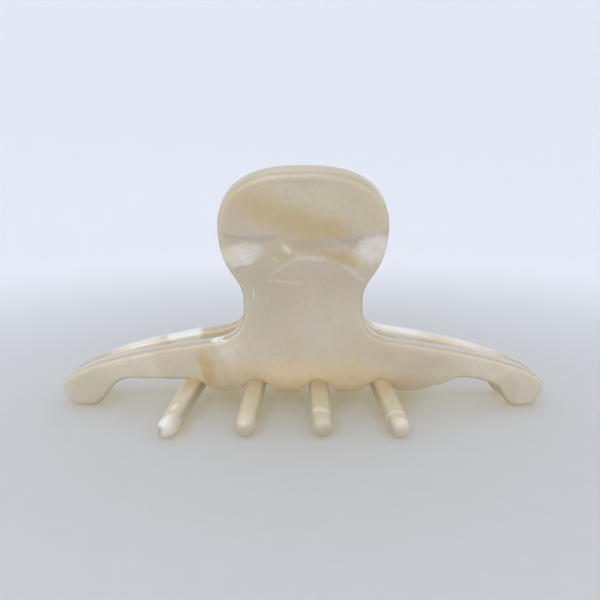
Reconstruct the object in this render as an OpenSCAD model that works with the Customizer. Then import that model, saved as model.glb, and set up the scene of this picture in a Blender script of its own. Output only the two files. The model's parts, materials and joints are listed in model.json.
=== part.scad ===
// Claw clip: two identical bent acetate jaws on a riveted pin with a torsion spring.
// X runs along the wings, the front jaw is on -Y, and +Z is up.
// The origin is on the resting plane, under the middle of the hinge.

/* [Jaws] */
// Overall length along the wings
clip_len = 99; // [80:1:125]
// Height from the resting plane to the top of the paddles
clip_h = 48.6; // [42:0.1:62]
// Thickness of the acetate sheet
sheet_t = 4; // [3:0.1:5]
// Gap between the two jaws in the middle of the body
jaw_gap = 8; // [7.2:0.1:10]
// Gap between the two jaws at the wing tips
tip_gap = 0.9; // [0.6:0.1:2]

/* [Paddles] */
// Width of a thumb paddle
paddle_w = 31; // [25:0.1:38]
// Width of the neck under a paddle
neck_w = 23.2; // [22:0.1:28]
// Outward lean of a paddle, in degrees
paddle_lean = 24; // [16:1:30]
// Radius of the bend between body and paddle, at mid-thickness
lean_r = 36; // [28:1:44]
// Height at which that bend starts
lean_z = 14; // [12:0.5:16]

/* [Wings] */
// Height of the wing tops where they leave the neck
wing_root_z = 15; // [14:0.1:18]
// Height of a wing's shoulder, which sets its arch
shoulder_z = 13; // [12:0.1:15]
// Flat length of a foot on the resting plane
foot_flat = 4.4; // [3:0.1:6]
// Width of a foot where it leaves the wing
foot_w = 13; // [11:0.1:15]

/* [Teeth] */
// Number of teeth on each jaw
tooth_count = 4; // [3:1:5]
// Distance between two teeth of one jaw
tooth_pitch = 12.3; // [11:0.1:15]
// Width of a tooth along its length
tooth_w = 4.1; // [3.6:0.1:5]
// Width of a tooth at its tip
tooth_tip_w = 3.7; // [3:0.1:4.5]
// Sideways gap between teeth of opposite jaws at their roots
tooth_gap = 1.25; // [0.8:0.05:1.6]
// How far the teeth reach past the middle plane
tooth_reach = 20.8; // [17:0.1:26]
// Downward slope of a tooth, in degrees
tooth_slope = 7.2; // [5:0.1:10]
// Bend radius of a tooth at its root, at mid-thickness
tooth_r = 4; // [3.2:0.1:5]
// How far a tooth tip stands out sideways, as a share of its root place
tooth_splay = 0.15; // [0:0.01:0.2]
// Vertical gap between a tooth and the edge of the jaw above it
tooth_clear = 0.8; // [0.4:0.05:1.2]

/* [Hinge] */
// Height of the hinge axis
hinge_z = 21.5; // [20:0.1:23]
// Diameter of the hinge pin
pin_d = 2; // [1.6:0.1:2.4]
// Outer radius of a lug's eye
lug_r = 3.8; // [3.2:0.1:4.2]
// Width of a lug along the pin
lug_w = 2.4; // [2:0.1:3]
// Height of a lug where it is bonded to the neck
lug_h = 8; // [6:0.1:9]
// Free length between the lugs, which the coil fills
coil_space = 8.8; // [8:0.1:11]
// Radial clearance of the pin in the lugs that turn on it
pin_clear = 0.05; // [0.02:0.01:0.1]
// Clearance along the pin between neighbouring lugs
lug_clear = 0.1; // [0.05:0.05:0.3]
// Radius of a pin head
head_r = 1.9; // [1.6:0.1:2.3]
// Thickness of a pin head
head_t = 0.8; // [0.5:0.1:1.2]
// Outer radius of a washer
washer_r = 2.7; // [2.4:0.1:3.2]
// Thickness of a washer
washer_t = 0.4; // [0.3:0.1:0.6]

/* [Spring] */
// Diameter of the spring wire
wire_d = 0.9; // [0.7:0.05:1.1]
// Mean radius of the coil
coil_r = 2.8; // [2.4:0.05:2.95]
// Whole turns in the coil, before the part turn between the legs
coil_turns = 6; // [4:1:7]
// Length of a spring leg
leg_len = 12; // [10:0.1:14]
// Depth of the blind hole that holds a leg's end
anchor_depth = 1.8; // [1.4:0.1:2.4]
// Clearance round a leg's end in its hole
anchor_clear = 0.25; // [0.1:0.05:0.3]

/* [Hidden] */

acetate = [0.90, 0.86, 0.74];
steel = [0.72, 0.73, 0.75];
$fn = 64;
reach = 100;                        // longer than any cut it makes
half_len = clip_len / 2;
neck_hw = neck_w / 2;
paddle_hw = paddle_w / 2;

// Distances in front of the middle plane, at mid-length of the clip
inner_d = jaw_gap / 2;
mid_d = inner_d + sheet_t / 2;
// The wings bow: every inner face lies on a wide cylinder that brings the tips together
bow_sag = inner_d - tip_gap / 2;
bow_r = (half_len * half_len + bow_sag * bow_sag) / (2 * bow_sag);
bow_y = bow_r - inner_d;            // the cylinder's axis
bow_angle = 2 * asin((half_len + 2) / bow_r);

// The sheet's side profile: upright, then a bend, then the leaning paddle
bend_end = [mid_d + lean_r * (1 - cos(paddle_lean)), lean_z + lean_r * sin(paddle_lean)];
lean_dir = [sin(paddle_lean), cos(paddle_lean)];
paddle_len = (clip_h - bend_end[1] - sheet_t / 2 * sin(paddle_lean)) / cos(paddle_lean);

// Teeth
tooth_t = sheet_t - 0.3;            // thinned a little by polishing
tooth_root_w = tooth_pitch - tooth_w - 2 * tooth_gap;
tooth_first = -tooth_pitch * (tooth_count - 1) / 2 + tooth_pitch / 4;
tooth_x = [for (i = [0 : tooth_count - 1]) tooth_first + i * tooth_pitch];
tip_y = tooth_reach - tooth_t / 2;
plan_tip_y = tooth_reach - tooth_tip_w / 2 + 0.25;   // the outline's round end stands past the profile's
function tooth_mid_z(y) = tooth_t / 2 + (tip_y - y) * tan(tooth_slope);
root_y = -mid_d + tooth_r;          // centre of the root bend
straight_y = root_y - tooth_r * sin(tooth_slope);
root_z = tooth_mid_z(straight_y) + tooth_r * cos(tooth_slope);

// Lower edge of the body: high over the other jaw's teeth, low at its own
arch_z = tooth_mid_z(inner_d) + tooth_t / 2 / cos(tooth_slope) + tooth_clear;
lobe_z = arch_z - 0.8;

// Hinge stack, outwards from the middle
inner_lug_x = coil_space / 2;
outer_lug_x = inner_lug_x + lug_w + lug_clear;
stack_x = outer_lug_x + lug_w;

// Spring
lean_plane = (bend_end[0] * cos(paddle_lean) - (bend_end[1] - hinge_z) * sin(paddle_lean)) - sheet_t / 2;
leg_tilt = paddle_lean - asin(max(0, (wire_d / 2 + coil_r - lean_plane) / leg_len));
coil_pitch = wire_d + 0.12;
coil_sweep = coil_turns * 360 + 180 - 2 * leg_tilt;
coil_len = coil_pitch * coil_sweep / 360;
leg_start = hinge_z - coil_r * sin(leg_tilt);
leg_end = [-coil_r * cos(leg_tilt) - leg_len * sin(leg_tilt), leg_start + leg_len * cos(leg_tilt)];

// Points along a cubic curve through its first and last control point
function curve(p, n) = [for (i = [0 : n]) let (t = i / n, u = 1 - t)
    u * u * u * p[0] + 3 * u * u * t * p[1] + 3 * u * t * t * p[2] + t * t * t * p[3]];
function flip(points) = [for (p = points) [-p[0], p[1]]];
function backwards(points) = [for (i = [len(points) - 1 : -1 : 0]) points[i]];

// From the neck's side down its fillet, along the wing's top and round the foot's outside
wing_top = concat(
    curve([[neck_hw, hinge_z + 1.5], [neck_hw, wing_root_z + 2.5], [neck_hw + 1.2, wing_root_z + 0.7],
           [neck_hw + 6, wing_root_z - 0.4]], 8),
    curve([[neck_hw + 6, wing_root_z - 0.4], [half_len * 0.62, shoulder_z], [half_len, shoulder_z - 4.5],
           [half_len, shoulder_z - 8.6]], 14),
    curve([[half_len, shoulder_z - 8.6], [half_len, 1.8], [half_len - 0.6, 0], [half_len - 2.2, 0]], 6));

// From the foot's inner corner up to the underside of the wing, and along it to the teeth
foot_in_x = half_len - 2.2 - foot_flat;
under_x = half_len - foot_w - 1;
left_under = concat(
    curve([[foot_in_x, 0], [foot_in_x - 2.5, 1.6], [foot_in_x - 3.2, arch_z + 0.1], [under_x, arch_z + 0.2]], 8),
    curve([[under_x, arch_z + 0.2], [under_x - 4, arch_z + 0.3], [-tooth_x[0] + tooth_root_w / 2 + 2, arch_z + 1],
           [-tooth_x[0] + tooth_root_w / 2, lobe_z]], 8));
last_x = tooth_x[tooth_count - 1] + tooth_root_w / 2;
right_under = concat(
    curve([[foot_in_x - 0.5, 0], [foot_in_x - 2.9, 0.6], [foot_in_x - 4.6, 3.2], [foot_in_x - 6.3, 4.8]], 6),
    curve([[foot_in_x - 6.3, 4.8], [foot_in_x - 10.3, arch_z + 1.8], [last_x + 2.7, arch_z + 1.6],
           [last_x, lobe_z]], 10));

// The arches between the teeth of one jaw
arches = [for (i = [0 : tooth_count - 2], k = [0 : 8])
    let (x0 = tooth_x[i] + tooth_root_w / 2, x1 = tooth_x[i + 1] - tooth_root_w / 2)
    [(x0 + x1) / 2 - (x1 - x0) / 2 * cos(k * 22.5), lobe_z + (arch_z - lobe_z) * sqrt(sin(k * 22.5))]];

body_outline = concat(
    [[neck_hw, hinge_z + 4]],
    wing_top, right_under,
    backwards(arches),
    backwards(flip(left_under)), backwards(flip(wing_top)),
    [[-neck_hw, hinge_z + 4]]);

// Paddle outline, in the plane of the paddle: squarish round top, sides that ease into the neck
wide_s = paddle_len * 0.42;
top_s = paddle_len;
function round_top(a) = [paddle_hw * pow(abs(cos(a)), 0.8) * sign(cos(a)),
                         wide_s + (top_s - wide_s) * pow(abs(sin(a)), 0.8)];
paddle_side = curve([[neck_hw, -5], [neck_hw, -0.5], [paddle_hw, 0.5], [paddle_hw, wide_s]], 10);
paddle_outline = concat(
    [[-neck_hw, -8], [neck_hw, -8]], paddle_side,
    [for (a = [10 : 10 : 170]) round_top(a)],
    backwards(flip(paddle_side)));

module front_to_back() {
    rotate([90, 0, 0]) linear_extrude(reach, center = true) children();
}

// The sheet's side profile, as distance from the middle plane and height
module side_profile() {
    bend = [for (i = [0 : 10]) paddle_lean * i / 10];
    over = 3;                       // the outlines trim the top, so the sheet starts higher
    top = bend_end + (paddle_len + over) * lean_dir;
    across = sheet_t / 2 * [lean_dir[1], -lean_dir[0]];
    polygon(concat(
        [[mid_d - sheet_t / 2, 0], [mid_d + sheet_t / 2, 0]],
        [for (a = bend) [mid_d + lean_r, lean_z] + (lean_r - sheet_t / 2) * [-cos(a), sin(a)]],
        [top + across, top - across],
        [for (i = [10 : -1 : 0]) [mid_d + lean_r, lean_z] + (lean_r + sheet_t / 2) * [-cos(bend[i]), sin(bend[i])]]));
}

// The whole bent sheet, before its outline is cut
module bent_sheet() {
    translate([0, bow_y, 0]) rotate([0, 0, -90 - bow_angle / 2])
        rotate_extrude(angle = bow_angle, $fn = 720) translate([bow_y, 0]) side_profile();
}

module body_panel() {
    intersection() {
        bent_sheet();
        front_to_back() polygon(body_outline);
    }
}

module paddle_panel() {
    intersection() {
        bent_sheet();
        translate([0, -bend_end[0], bend_end[1]]) rotate([paddle_lean, 0, 0])
            front_to_back() polygon(paddle_outline);
    }
}

// One tooth at its root, pointing to +Y
module tooth_profile() {
    bend = [for (i = [0 : 8]) (90 - tooth_slope) * i / 8];
    outer = tooth_r + tooth_t / 2;
    inner = tooth_r - tooth_t / 2;
    side = tooth_t / 2 * [sin(tooth_slope), cos(tooth_slope)];
    tip = [tip_y, tooth_t / 2];
    polygon(concat(
        [[root_y - inner, root_z + 3], [root_y - outer, root_z + 3]],
        [for (a = bend) [root_y - outer * cos(a), root_z - outer * sin(a)]],
        [tip - side, tip + side],
        [for (i = [8 : -1 : 0]) [root_y - inner * cos(bend[i]), root_z - inner * sin(bend[i])]]));
    translate(tip) circle(d = tooth_t);
}

module tooth_plan() {
    polygon([[-tooth_root_w / 2, -mid_d - sheet_t], [tooth_root_w / 2, -mid_d - sheet_t],
             [tooth_root_w / 2, -mid_d + 2], [tooth_w / 2, 0],
             [tooth_tip_w / 2, plan_tip_y], [-tooth_tip_w / 2, plan_tip_y],
             [-tooth_w / 2, 0], [-tooth_root_w / 2, -mid_d + 2]]);
    translate([0, plan_tip_y]) circle(d = tooth_tip_w);
}

module tooth(x) {
    sag = bow_r - sqrt(bow_r * bow_r - x * x);
    splay = asin(tooth_splay * x / (tooth_reach + mid_d));
    translate([x, sag, 0]) translate([0, -mid_d, 0]) rotate([0, 0, -splay]) translate([0, mid_d, 0])
        intersection() {
            rotate([90, 0, 90]) linear_extrude(tooth_root_w + 2, center = true) tooth_profile();
            translate([0, 0, -1]) linear_extrude(root_z + 5) tooth_plan();
        }
}

// The blind hole in the paddle that holds the end of the spring's leg
module leg_anchor(x) {
    translate([x, leg_end[0], leg_end[1]]) rotate([90 + paddle_lean, 0, 0])
        translate([0, 0, -1]) cylinder(d = wire_d + 2 * anchor_clear, h = anchor_depth + wire_d / 2 + 1);
}

module jaw() {
    difference() {
        union() {
            body_panel();
            paddle_panel();
            for (x = tooth_x) tooth(x);
        }
        leg_anchor(coil_len / 2);
    }
}

// A hinge lug: an eye round the pin and a web that is bonded to the neck's inner face
module lug(x, bore_d) {
    difference() {
        translate([x, 0, 0]) rotate([90, 0, 90]) linear_extrude(lug_w) {
            translate([0, hinge_z]) circle(r = lug_r);
            polygon([[0, hinge_z - lug_r], [0, hinge_z + lug_r], [-mid_d, hinge_z + lug_h / 2],
                     [-mid_d, hinge_z - lug_h / 2]]);
        }
        bent_sheet();
        translate([x - 1, 0, hinge_z]) rotate([0, 90, 0]) cylinder(d = bore_d, h = lug_w + 2);
    }
}

module washer(x) {
    translate([x, 0, hinge_z]) rotate([0, 90, 0]) difference() {
        cylinder(r = washer_r, h = washer_t);
        translate([0, 0, -1]) cylinder(d = pin_d, h = washer_t + 2);
    }
}

// The spring's wire, from the end in the front paddle to the end in the rear paddle
function on_coil(a, x) = [x, -coil_r * cos(a), hinge_z + coil_r * sin(a)];
leg_dir = [0, -sin(leg_tilt), cos(leg_tilt)];
hook_dir = [0, -cos(paddle_lean), -sin(paddle_lean)];
hook_len = anchor_depth - 0.2;
front_leg = let (root = on_coil(-leg_tilt, coil_len / 2), end = root + leg_len * leg_dir)
    [end + hook_len * hook_dir, end + 0.7 * wire_d * hook_dir, end - 0.7 * wire_d * leg_dir,
     root + leg_len / 2 * leg_dir];
steps = round(coil_sweep / 22.5);
coil_path = [for (i = [0 : steps]) let (share = i / steps)
    on_coil(-leg_tilt - coil_sweep * share, coil_len * (0.5 - share))];
wire_path = concat(front_leg, coil_path,
    [for (i = [len(front_leg) - 1 : -1 : 0]) let (p = front_leg[i]) [-p[0], -p[1], p[2]]]);

function unit(v) = v / norm(v);
function heading(path, i) = unit(path[min(i + 1, len(path) - 1)] - path[max(i - 1, 0)]);

// A round wire swept along a path whose run is never along X
module wire(path, d, sides = 8) {
    rings = [for (i = [0 : len(path) - 1])
        let (t = heading(path, i), across = unit([1, 0, 0] - t[0] * t), up = cross(t, across))
        for (k = [0 : sides - 1]) path[i] + d / 2 * (cos(k * 360 / sides) * across + sin(k * 360 / sides) * up)];
    last = (len(path) - 1) * sides;
    polyhedron(rings, concat(
        [[for (k = [sides - 1 : -1 : 0]) k]],
        [for (i = [0 : len(path) - 2], k = [0 : sides - 1]) let (n = (k + 1) % sides)
            each [[i * sides + k, i * sides + n, (i + 1) * sides + n], [i * sides + k, (i + 1) * sides + n, (i + 1) * sides + k]]],
        [[for (k = [0 : sides - 1]) last + k]]));
}

module front_jaw() {
    color(acetate) jaw();
}

module rear_jaw() {
    color(acetate) rotate([0, 0, 180]) jaw();
}

module front_lug_right() {
    color(acetate) lug(outer_lug_x, pin_d);
}

module front_lug_left() {
    color(acetate) lug(-inner_lug_x - lug_w, pin_d);
}

module rear_lug_left() {
    color(acetate) rotate([0, 0, 180]) lug(outer_lug_x, pin_d + 2 * pin_clear);
}

module rear_lug_right() {
    color(acetate) rotate([0, 0, 180]) lug(-inner_lug_x - lug_w, pin_d + 2 * pin_clear);
}

module hinge_pin() {
    shank = 2 * (stack_x + washer_t) + lug_clear;
    color(steel) translate([stack_x + washer_t, 0, hinge_z]) rotate([0, -90, 0]) {
        cylinder(d = pin_d, h = shank);
        translate([0, 0, -head_t]) cylinder(r = head_r, h = head_t);
        translate([0, 0, shank]) cylinder(r = head_r, h = head_t);
    }
}

module pin_washer_right() {
    color(steel) washer(stack_x);
}

module pin_washer_left() {
    color(steel) washer(-stack_x - lug_clear - washer_t);
}

module torsion_spring() {
    color(steel) wire(wire_path, wire_d);
}

front_jaw();
rear_jaw();
front_lug_right();
front_lug_left();
rear_lug_left();
rear_lug_right();
hinge_pin();
pin_washer_right();
pin_washer_left();
torsion_spring();
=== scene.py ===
import json
import math

import bmesh
import bpy
import numpy as np
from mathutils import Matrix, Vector
from mathutils.geometry import delaunay_2d_cdt


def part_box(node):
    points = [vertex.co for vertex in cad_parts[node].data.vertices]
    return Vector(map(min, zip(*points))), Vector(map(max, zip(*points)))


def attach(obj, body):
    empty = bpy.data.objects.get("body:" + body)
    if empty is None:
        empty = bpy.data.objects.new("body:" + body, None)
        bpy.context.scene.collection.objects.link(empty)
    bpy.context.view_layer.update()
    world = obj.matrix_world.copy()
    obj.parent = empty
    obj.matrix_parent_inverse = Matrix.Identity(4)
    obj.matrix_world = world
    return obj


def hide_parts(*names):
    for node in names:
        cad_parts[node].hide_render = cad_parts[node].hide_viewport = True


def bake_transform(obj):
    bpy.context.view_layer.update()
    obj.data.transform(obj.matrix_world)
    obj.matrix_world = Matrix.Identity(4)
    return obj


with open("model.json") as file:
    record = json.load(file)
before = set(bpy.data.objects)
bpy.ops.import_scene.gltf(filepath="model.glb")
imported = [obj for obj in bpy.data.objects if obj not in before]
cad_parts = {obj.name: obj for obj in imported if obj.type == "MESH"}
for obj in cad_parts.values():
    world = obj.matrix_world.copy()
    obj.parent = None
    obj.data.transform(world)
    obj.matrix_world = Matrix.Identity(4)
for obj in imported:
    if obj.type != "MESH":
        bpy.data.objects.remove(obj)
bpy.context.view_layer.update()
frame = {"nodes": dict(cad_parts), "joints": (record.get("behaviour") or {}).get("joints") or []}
print("frame loaded:", len(frame["nodes"]), "nodes")

# Shapes are worked out in millimetres and made in metres
mm = 0.001
hingeZ = frame["joints"][0]["pos_m"][2] / mm


def nodeBox(node):
    low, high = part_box(node)
    return np.array(low) / mm, np.array(high) / mm


def smoothStep(low, high, x):
    t = np.clip((x - low) / (high - low), 0, 1)
    return t * t * (3 - 2 * t)


def meshPiece(name, points, faces, material, body, stands):
    # One finished piece at the origin, riding on its body in place of its CAD node
    mesh = bpy.data.meshes.new(name)
    mesh.from_pydata((np.array(points) * mm).tolist(), [], faces)
    mesh.validate()
    mesh.shade_smooth()
    piece = bpy.data.objects.new(name, mesh)
    bpy.context.scene.collection.objects.link(piece)
    mesh.materials.append(material)
    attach(piece, body)
    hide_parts(stands)
    return piece


def giveAttributes(piece, place, edge):
    # Each point's place in the flat sheet, and its distance from the cut edge, in millimetres
    sheetPlace = piece.data.attributes.new("sheetPlace", "FLOAT_VECTOR", "POINT")
    sheetPlace.data.foreach_set("vector", np.asarray(place, np.float32).ravel())
    fromEdge = piece.data.attributes.new("fromEdge", "FLOAT", "POINT")
    fromEdge.data.foreach_set("value", np.asarray(edge, np.float32))


def put(tree, kind, inputs=None, **settings):
    # A node with its settings, its plain values and its incoming links
    node = tree.nodes.new(kind)
    for key, value in settings.items():
        setattr(node, key, value)
    for key, value in (inputs or {}).items():
        if isinstance(value, bpy.types.NodeSocket):
            tree.links.new(value, node.inputs[key])
        else:
            node.inputs[key].default_value = value
    return node


def calc(tree, operation, a, b=0.0, c=0.0, clamp=False):
    node = put(tree, "ShaderNodeMath", {0: a, 1: b, 2: c}, operation=operation, use_clamp=clamp)
    return node.outputs[0]


def vectorCalc(tree, operation, a, b):
    return put(tree, "ShaderNodeVectorMath", {0: a, 1: b}, operation=operation).outputs[0]


def scaled(tree, vector, factor):
    return put(tree, "ShaderNodeVectorMath", {0: vector, "Scale": factor}, operation="SCALE").outputs[0]


def noise(tree, vector, scale, detail, **more):
    inputs = {"Vector": vector, "Scale": scale, "Detail": detail}
    inputs.update({key.capitalize(): value for key, value in more.items()})
    return put(tree, "ShaderNodeTexNoise", inputs).outputs


def ramp(tree, value, low, high, start=0.0, end=1.0):
    # A smooth step from start to end while the value goes from low to high
    node = put(tree, "ShaderNodeMapRange",
               {"Value": value, "From Min": low, "From Max": high, "To Min": start, "To Max": end},
               interpolation_type="SMOOTHSTEP")
    return node.outputs["Result"]


def mixColour(tree, share, a, b, blend="MIX"):
    node = put(tree, "ShaderNodeMix", data_type="RGBA", blend_type=blend, clamp_factor=True)
    for key, value in ((0, share), (6, a), (7, b)):
        if isinstance(value, bpy.types.NodeSocket):
            tree.links.new(value, node.inputs[key])
        elif key == 0:
            node.inputs[key].default_value = value
        else:
            node.inputs[key].default_value = (*value, 1.0)
    return node.outputs[2]


def newGroup(name, inputs, outputs):
    group = bpy.data.node_groups.new(name, "ShaderNodeTree")
    for label, kind, value in inputs:
        socket = group.interface.new_socket(label, in_out="INPUT", socket_type=kind)
        if value is not None:
            socket.default_value = value
    for label, kind in outputs:
        group.interface.new_socket(label, in_out="OUTPUT", socket_type=kind)
    start = group.nodes.new("NodeGroupInput")
    end = group.nodes.new("NodeGroupOutput")
    return group, start.outputs, end.inputs


def useGroup(tree, group, values):
    node = put(tree, "ShaderNodeGroup", node_tree=group)
    for key, value in values.items():
        if isinstance(value, bpy.types.NodeSocket):
            tree.links.new(value, node.inputs[key])
        else:
            node.inputs[key].default_value = value
    return node.outputs


def buildPearlFolds():
    # Folded layers of pearl: each layer brightens slowly and stops at a crisp edge
    group, given, made = newGroup(
        "pearlFolds",
        [("Vector", "NodeSocketVector", None), ("Scale", "NodeSocketFloat", 0.042),
         ("Swirl", "NodeSocketFloat", 1.6), ("Layers", "NodeSocketFloat", 3.2),
         ("Edge", "NodeSocketFloat", 0.12)],
        [("Layer", "NodeSocketFloat"), ("Vein", "NodeSocketFloat"), ("Cloud", "NodeSocketFloat")])
    sheet = scaled(group, given["Vector"], given["Scale"])
    warp = noise(group, sheet, 0.55, 1.0)
    centred = vectorCalc(group, "SUBTRACT", warp["Color"], (0.5, 0.5, 0.5))
    folded = vectorCalc(group, "ADD", sheet, scaled(group, centred, given["Swirl"]))
    flow = noise(group, folded, 1.0, 1.2, roughness=0.35, distortion=0.25)
    place = calc(group, "FRACT", calc(group, "MULTIPLY", flow["Fac"], given["Layers"]))
    edgeStart = calc(group, "SUBTRACT", 1.0, given["Edge"])
    rise = ramp(group, place, 0.0, 1.0)
    fall = ramp(group, place, edgeStart, 1.0, 1.0, 0.0)
    fromEdge = calc(group, "ABSOLUTE", calc(group, "SUBTRACT", place, edgeStart))
    cloud = noise(group, folded, 0.8, 3.0, roughness=0.5)
    group.links.new(calc(group, "MULTIPLY", rise, fall), made["Layer"])
    group.links.new(ramp(group, fromEdge, 0.0, given["Edge"], 1.0, 0.0), made["Vein"])
    group.links.new(cloud["Fac"], made["Cloud"])
    return group


def buildHandling():
    # Fine scratches, smudges and the slow ripple that polishing leaves
    group, given, made = newGroup(
        "handlingMarks",
        [("Vector", "NodeSocketVector", None), ("Scratch Scale", "NodeSocketFloat", 900.0),
         ("Ripple Scale", "NodeSocketFloat", 180.0), ("Ripple", "NodeSocketFloat", 1.0)],
        [("Height", "NodeSocketFloat"), ("Scratch", "NodeSocketFloat"), ("Smudge", "NodeSocketFloat")])
    stretched = vectorCalc(group, "MULTIPLY", given["Vector"], (0.16, 1.0, 1.0))
    scratch = noise(group, stretched, given["Scratch Scale"], 2.0, distortion=0.6)
    thin = ramp(group, scratch["Fac"], 0.62, 0.72)
    ripple = noise(group, given["Vector"], given["Ripple Scale"], 1.0, roughness=0.4)
    smudge = noise(group, given["Vector"], 260.0, 4.0, roughness=0.62)
    rippled = calc(group, "MULTIPLY", ripple["Fac"], given["Ripple"])
    group.links.new(calc(group, "MULTIPLY_ADD", thin, -0.06, rippled), made["Height"])
    group.links.new(thin, made["Scratch"])
    group.links.new(ramp(group, smudge["Fac"], 0.42, 0.68), made["Smudge"])
    return group


def buildPearlPatch():
    # One patch of colour, for a fold of pearl and also for painted highlights and painted glow: a ragged
    # oval, soft or sharp at its edge
    group, given, made = newGroup(
        "pearlAndPaintedLightPatch",
        [("Vector", "NodeSocketVector", None), ("Centre", "NodeSocketVector", None),
         ("Half Size", "NodeSocketVector", (4.0, 2.0, 50.0)), ("Turn", "NodeSocketFloat", 0.0),
         ("Soft", "NodeSocketFloat", 0.6), ("Ragged", "NodeSocketFloat", 3.2)],
        [("Mask", "NodeSocketFloat")])
    warp = noise(group, given["Vector"], 0.34, 4.0)
    centred = vectorCalc(group, "SUBTRACT", warp["Color"], (0.5, 0.5, 0.5))
    moved = vectorCalc(group, "SUBTRACT", given["Vector"], given["Centre"])
    ragged = vectorCalc(group, "ADD", moved, scaled(group, centred, given["Ragged"]))
    turned = put(group, "ShaderNodeVectorRotate", {"Vector": ragged, "Angle": given["Turn"]},
                 rotation_type="Z_AXIS").outputs[0]
    sized = vectorCalc(group, "DIVIDE", turned, given["Half Size"])
    far = put(group, "ShaderNodeVectorMath", {0: sized}, operation="LENGTH").outputs["Value"]
    inner = calc(group, "SUBTRACT", 1.0, given["Soft"])
    outer = calc(group, "MULTIPLY_ADD", given["Soft"], 0.35, 1.0)
    group.links.new(ramp(group, far, inner, outer, 1.0, 0.0), made["Mask"])
    return group


def buildLayerLine():
    # Where one layer of pearl ends over another: a bright line that bends, and all that lies below it
    group, given, made = newGroup(
        "layerLine",
        [("Vector", "NodeSocketVector", None), ("Along", "NodeSocketFloat", 0.0),
         ("Height", "NodeSocketFloat", 30.0), ("Tilt", "NodeSocketFloat", 0.0),
         ("Bend", "NodeSocketFloat", 0.0), ("Reach", "NodeSocketFloat", 8.0),
         ("Width", "NodeSocketFloat", 0.4)],
        [("Line", "NodeSocketFloat"), ("Below", "NodeSocketFloat")])
    warp = noise(group, given["Vector"], 0.3, 2.0)
    part = put(group, "ShaderNodeSeparateXYZ", {0: given["Vector"]}).outputs
    aside = calc(group, "SUBTRACT", part["X"], given["Along"])
    tilted = calc(group, "MULTIPLY_ADD", aside, given["Tilt"], given["Height"])
    bent = calc(group, "MULTIPLY_ADD", calc(group, "MULTIPLY", aside, aside), given["Bend"], tilted)
    wavy = calc(group, "MULTIPLY_ADD", warp["Fac"], 1.6, calc(group, "SUBTRACT", bent, 0.8))
    over = calc(group, "SUBTRACT", part["Y"], wavy)
    fadeFrom = calc(group, "MULTIPLY", given["Reach"], 0.6)
    within = ramp(group, calc(group, "ABSOLUTE", aside), fadeFrom, given["Reach"], 1.0, 0.0)
    line = ramp(group, calc(group, "ABSOLUTE", over), 0.0, given["Width"], 1.0, 0.0)
    below = calc(group, "MULTIPLY", ramp(group, over, 0.2, -0.6), ramp(group, over, -12.0, -3.0))
    group.links.new(calc(group, "MULTIPLY", line, within), made["Line"])
    group.links.new(calc(group, "MULTIPLY", below, within), made["Below"])
    return group


pearlFolds = buildPearlFolds()
pearlAndPaintedLightPatch = buildPearlPatch()
layerLine = buildLayerLine()
handlingMarks = buildHandling()


def startMaterial(name):
    material = bpy.data.materials.new(name)
    material.use_nodes = True
    tree = material.node_tree
    tree.nodes.clear()
    shader = tree.nodes.new("ShaderNodeBsdfPrincipled")
    output = tree.nodes.new("ShaderNodeOutputMaterial")
    tree.links.new(shader.outputs[0], output.inputs["Surface"])
    place = tree.nodes.new("ShaderNodeTexCoord").outputs["Object"]
    return material, tree, shader, place


frontHigh = nodeBox("front_jaw")[1]
jaw = {
    "sheet": 4.0,              # thickness of the acetate, mm
    "toothSheet": 3.6,         # teeth are polished a little thinner
    "gap": 8.0,                # between the jaws at mid-length
    "tipGap": 0.9,             # between the jaws at the wing tips
    "lean": math.radians(24),  # the paddle's outward lean
    "leanRadius": 36.0,
    "leanFrom": 14.0,          # height at which the lean starts
    "neck": 11.5,              # half width
    "paddle": 15.4,            # half width
    "shoulder": 13.0,          # sets the wing's arch
    "wingRoot": 15.0,
    "footCorner": 3.4,         # from a wing's end to the flat of its foot
    "footRise": 8.6,           # from the foot's widest place up to the shoulder
    "footFlat": 2.0,
    "underside": 6.4,          # height of the wings' lower edge
    "teeth": 4,
    "pitch": 12.3,
    "aside": 0.25,             # share of the pitch that the row of teeth sits to one side
    "bowCarry": 0.7,           # the wings' bow carries the outer teeth this much further
    "rootHalf": 2.8,           # half widths of a tooth at its root, past its bend and at its tip
    "toothHalf": 2.05,
    "tipHalf": 1.85,
    "toothRadius": 4.0,        # bend at a tooth's root
    "toothSlope": math.radians(7.2),
    "splay": 0.15,             # how far the teeth fan out towards their tips
    "curlFade": 7.5,           # from the outermost teeth to where the wings are upright again
    "archTop": 7.0,            # places along the blank
    "archBase": 2.8,
    "edge": 1.0,               # rounding of the edges by tumbling
    "toothEdge": 1.4,
    "tipEdge": 1.6,
    "spacing": 0.32,           # of the points along the outline
    "grid": 0.75,              # of the points inside it
}
j = jaw
halfLen = frontHigh[0]
clipTop = frontHigh[2]
toothReach = frontHigh[1] - j["bowCarry"]
midOut = (j["gap"] + j["sheet"]) / 2
bowSag = (j["gap"] - j["tipGap"]) / 2
bowAxis = (halfLen ** 2 + bowSag ** 2) / (2 * bowSag) - j["gap"] / 2
leanEnd = j["leanFrom"] + j["leanRadius"] * j["lean"]      # along the blank
leanEndZ = j["leanFrom"] + j["leanRadius"] * math.sin(j["lean"])
paddleTop = leanEnd + (clipTop - leanEndZ - j["sheet"] / 2 * math.sin(j["lean"])) / math.cos(j["lean"])
toothX = [(i - (j["teeth"] - 1) / 2 + j["aside"]) * j["pitch"] for i in range(j["teeth"])]
curlMax = math.pi / 2 - j["toothSlope"]
straightY = j["toothRadius"] * (1 - math.sin(j["toothSlope"])) - midOut
curlTop = (j["tipHalf"] + (toothReach - j["tipHalf"] - straightY) * math.tan(j["toothSlope"])
           + j["toothRadius"] * math.cos(j["toothSlope"]))
curlEnd = curlTop - j["toothRadius"] * curlMax
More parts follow.
